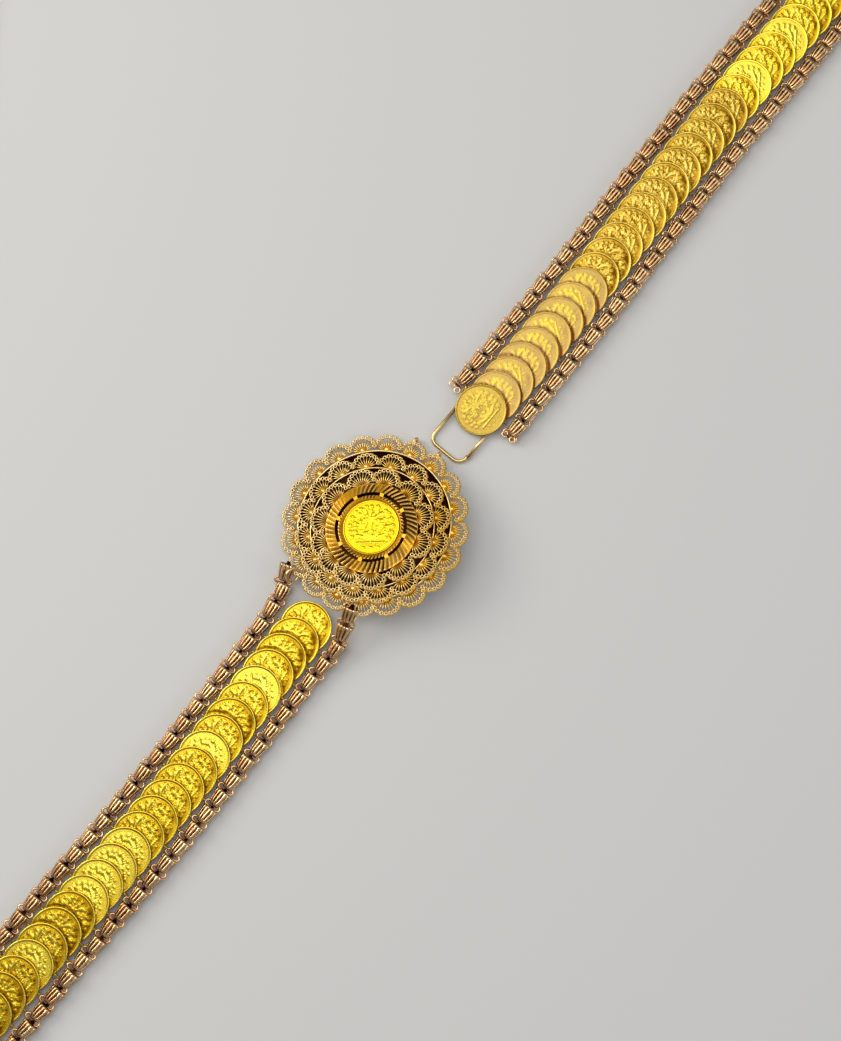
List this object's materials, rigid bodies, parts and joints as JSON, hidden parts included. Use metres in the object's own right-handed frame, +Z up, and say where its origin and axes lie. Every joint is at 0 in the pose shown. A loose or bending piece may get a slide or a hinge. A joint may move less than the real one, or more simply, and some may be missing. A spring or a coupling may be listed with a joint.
{
  "type": "gold coin belt",
  "caption": "Folk jewellery belt: lapped gold coins between two ribbed side chains, a tiered filigree buckle with a coin in its middle, and a wire clasp loop.",
  "frame": {"origin": "middle of the belt's bounding box, on the surface that it lies on", "axes": "+X along the straight front of the belt from the buckle towards the clasp end, +Y towards the back of the loop, +Z up out of the coins' faces"},
  "size_m": [0.5737, 0.3169, 0.0169],
  "materials": {
    "coin_gold": null,
    "filigree_gold": null,
    "amber_gold": null,
    "rose_gold": null
  },
  "bodies": {
    "root": {"back_plate": "amber_gold", "catch": "amber_gold", "outer_tier": "filigree_gold", "middle_tier": "filigree_gold", "inner_tier": "filigree_gold", "fluted_ring": "amber_gold", "centre_coin": "coin_gold", "jump_ring_inner": "rose_gold", "jump_ring_outer": "rose_gold", "coins_near_buckle": "coin_gold", "coins_near_clasp": "coin_gold", "clasp_end": "coin_gold", "end_rings_inner": "rose_gold", "end_rings_outer": "rose_gold", "inner_chain_buckle_half": "rose_gold", "inner_chain_clasp_half": "rose_gold", "outer_chain_buckle_half": "rose_gold", "outer_chain_clasp_half": "rose_gold"}
  },
  "joints": []
}
